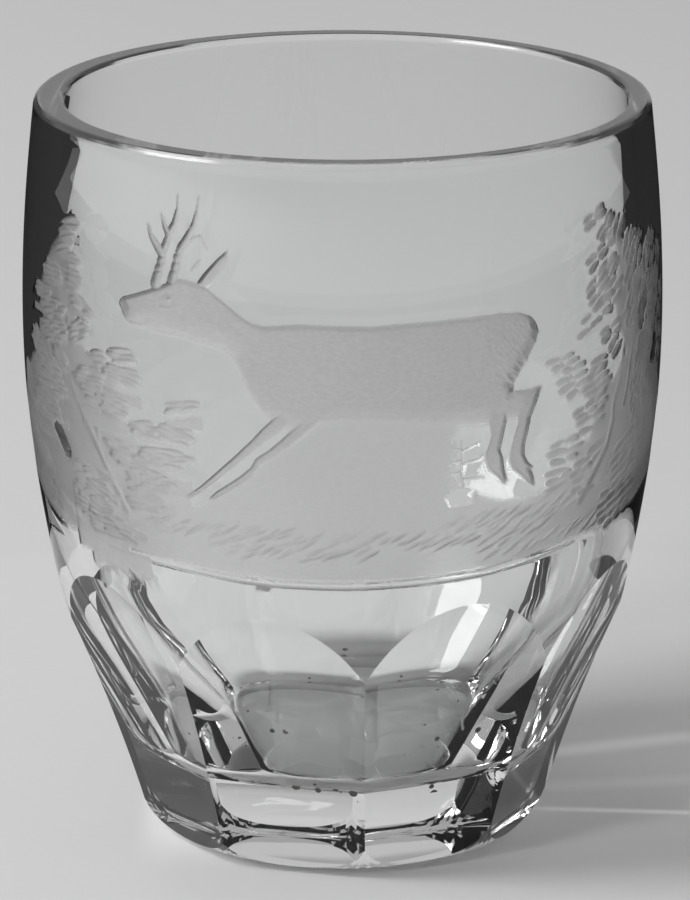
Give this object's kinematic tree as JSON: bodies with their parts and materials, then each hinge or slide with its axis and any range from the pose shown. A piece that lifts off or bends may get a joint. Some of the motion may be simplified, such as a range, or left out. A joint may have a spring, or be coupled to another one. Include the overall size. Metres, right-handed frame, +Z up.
{
  "type": "whiskey glass",
  "caption": "Barrel-shaped cut glass tumbler with a heavy base, arched hollow-ground panels round its lower part and a wheel-engraved roebuck running among trees.",
  "frame": {"origin": "centre of the flat underside that the glass stands on", "axes": "+Z up along the glass's axis, -Y towards the viewer who sees the roebuck, +X to that viewer's right"},
  "size_m": [0.0762, 0.0762, 0.09],
  "materials": {
    "clear_glass": "clear, polished, with matt engraving"
  },
  "bodies": {
    "root": {"glass_body": "clear_glass"}
  },
  "joints": []
}
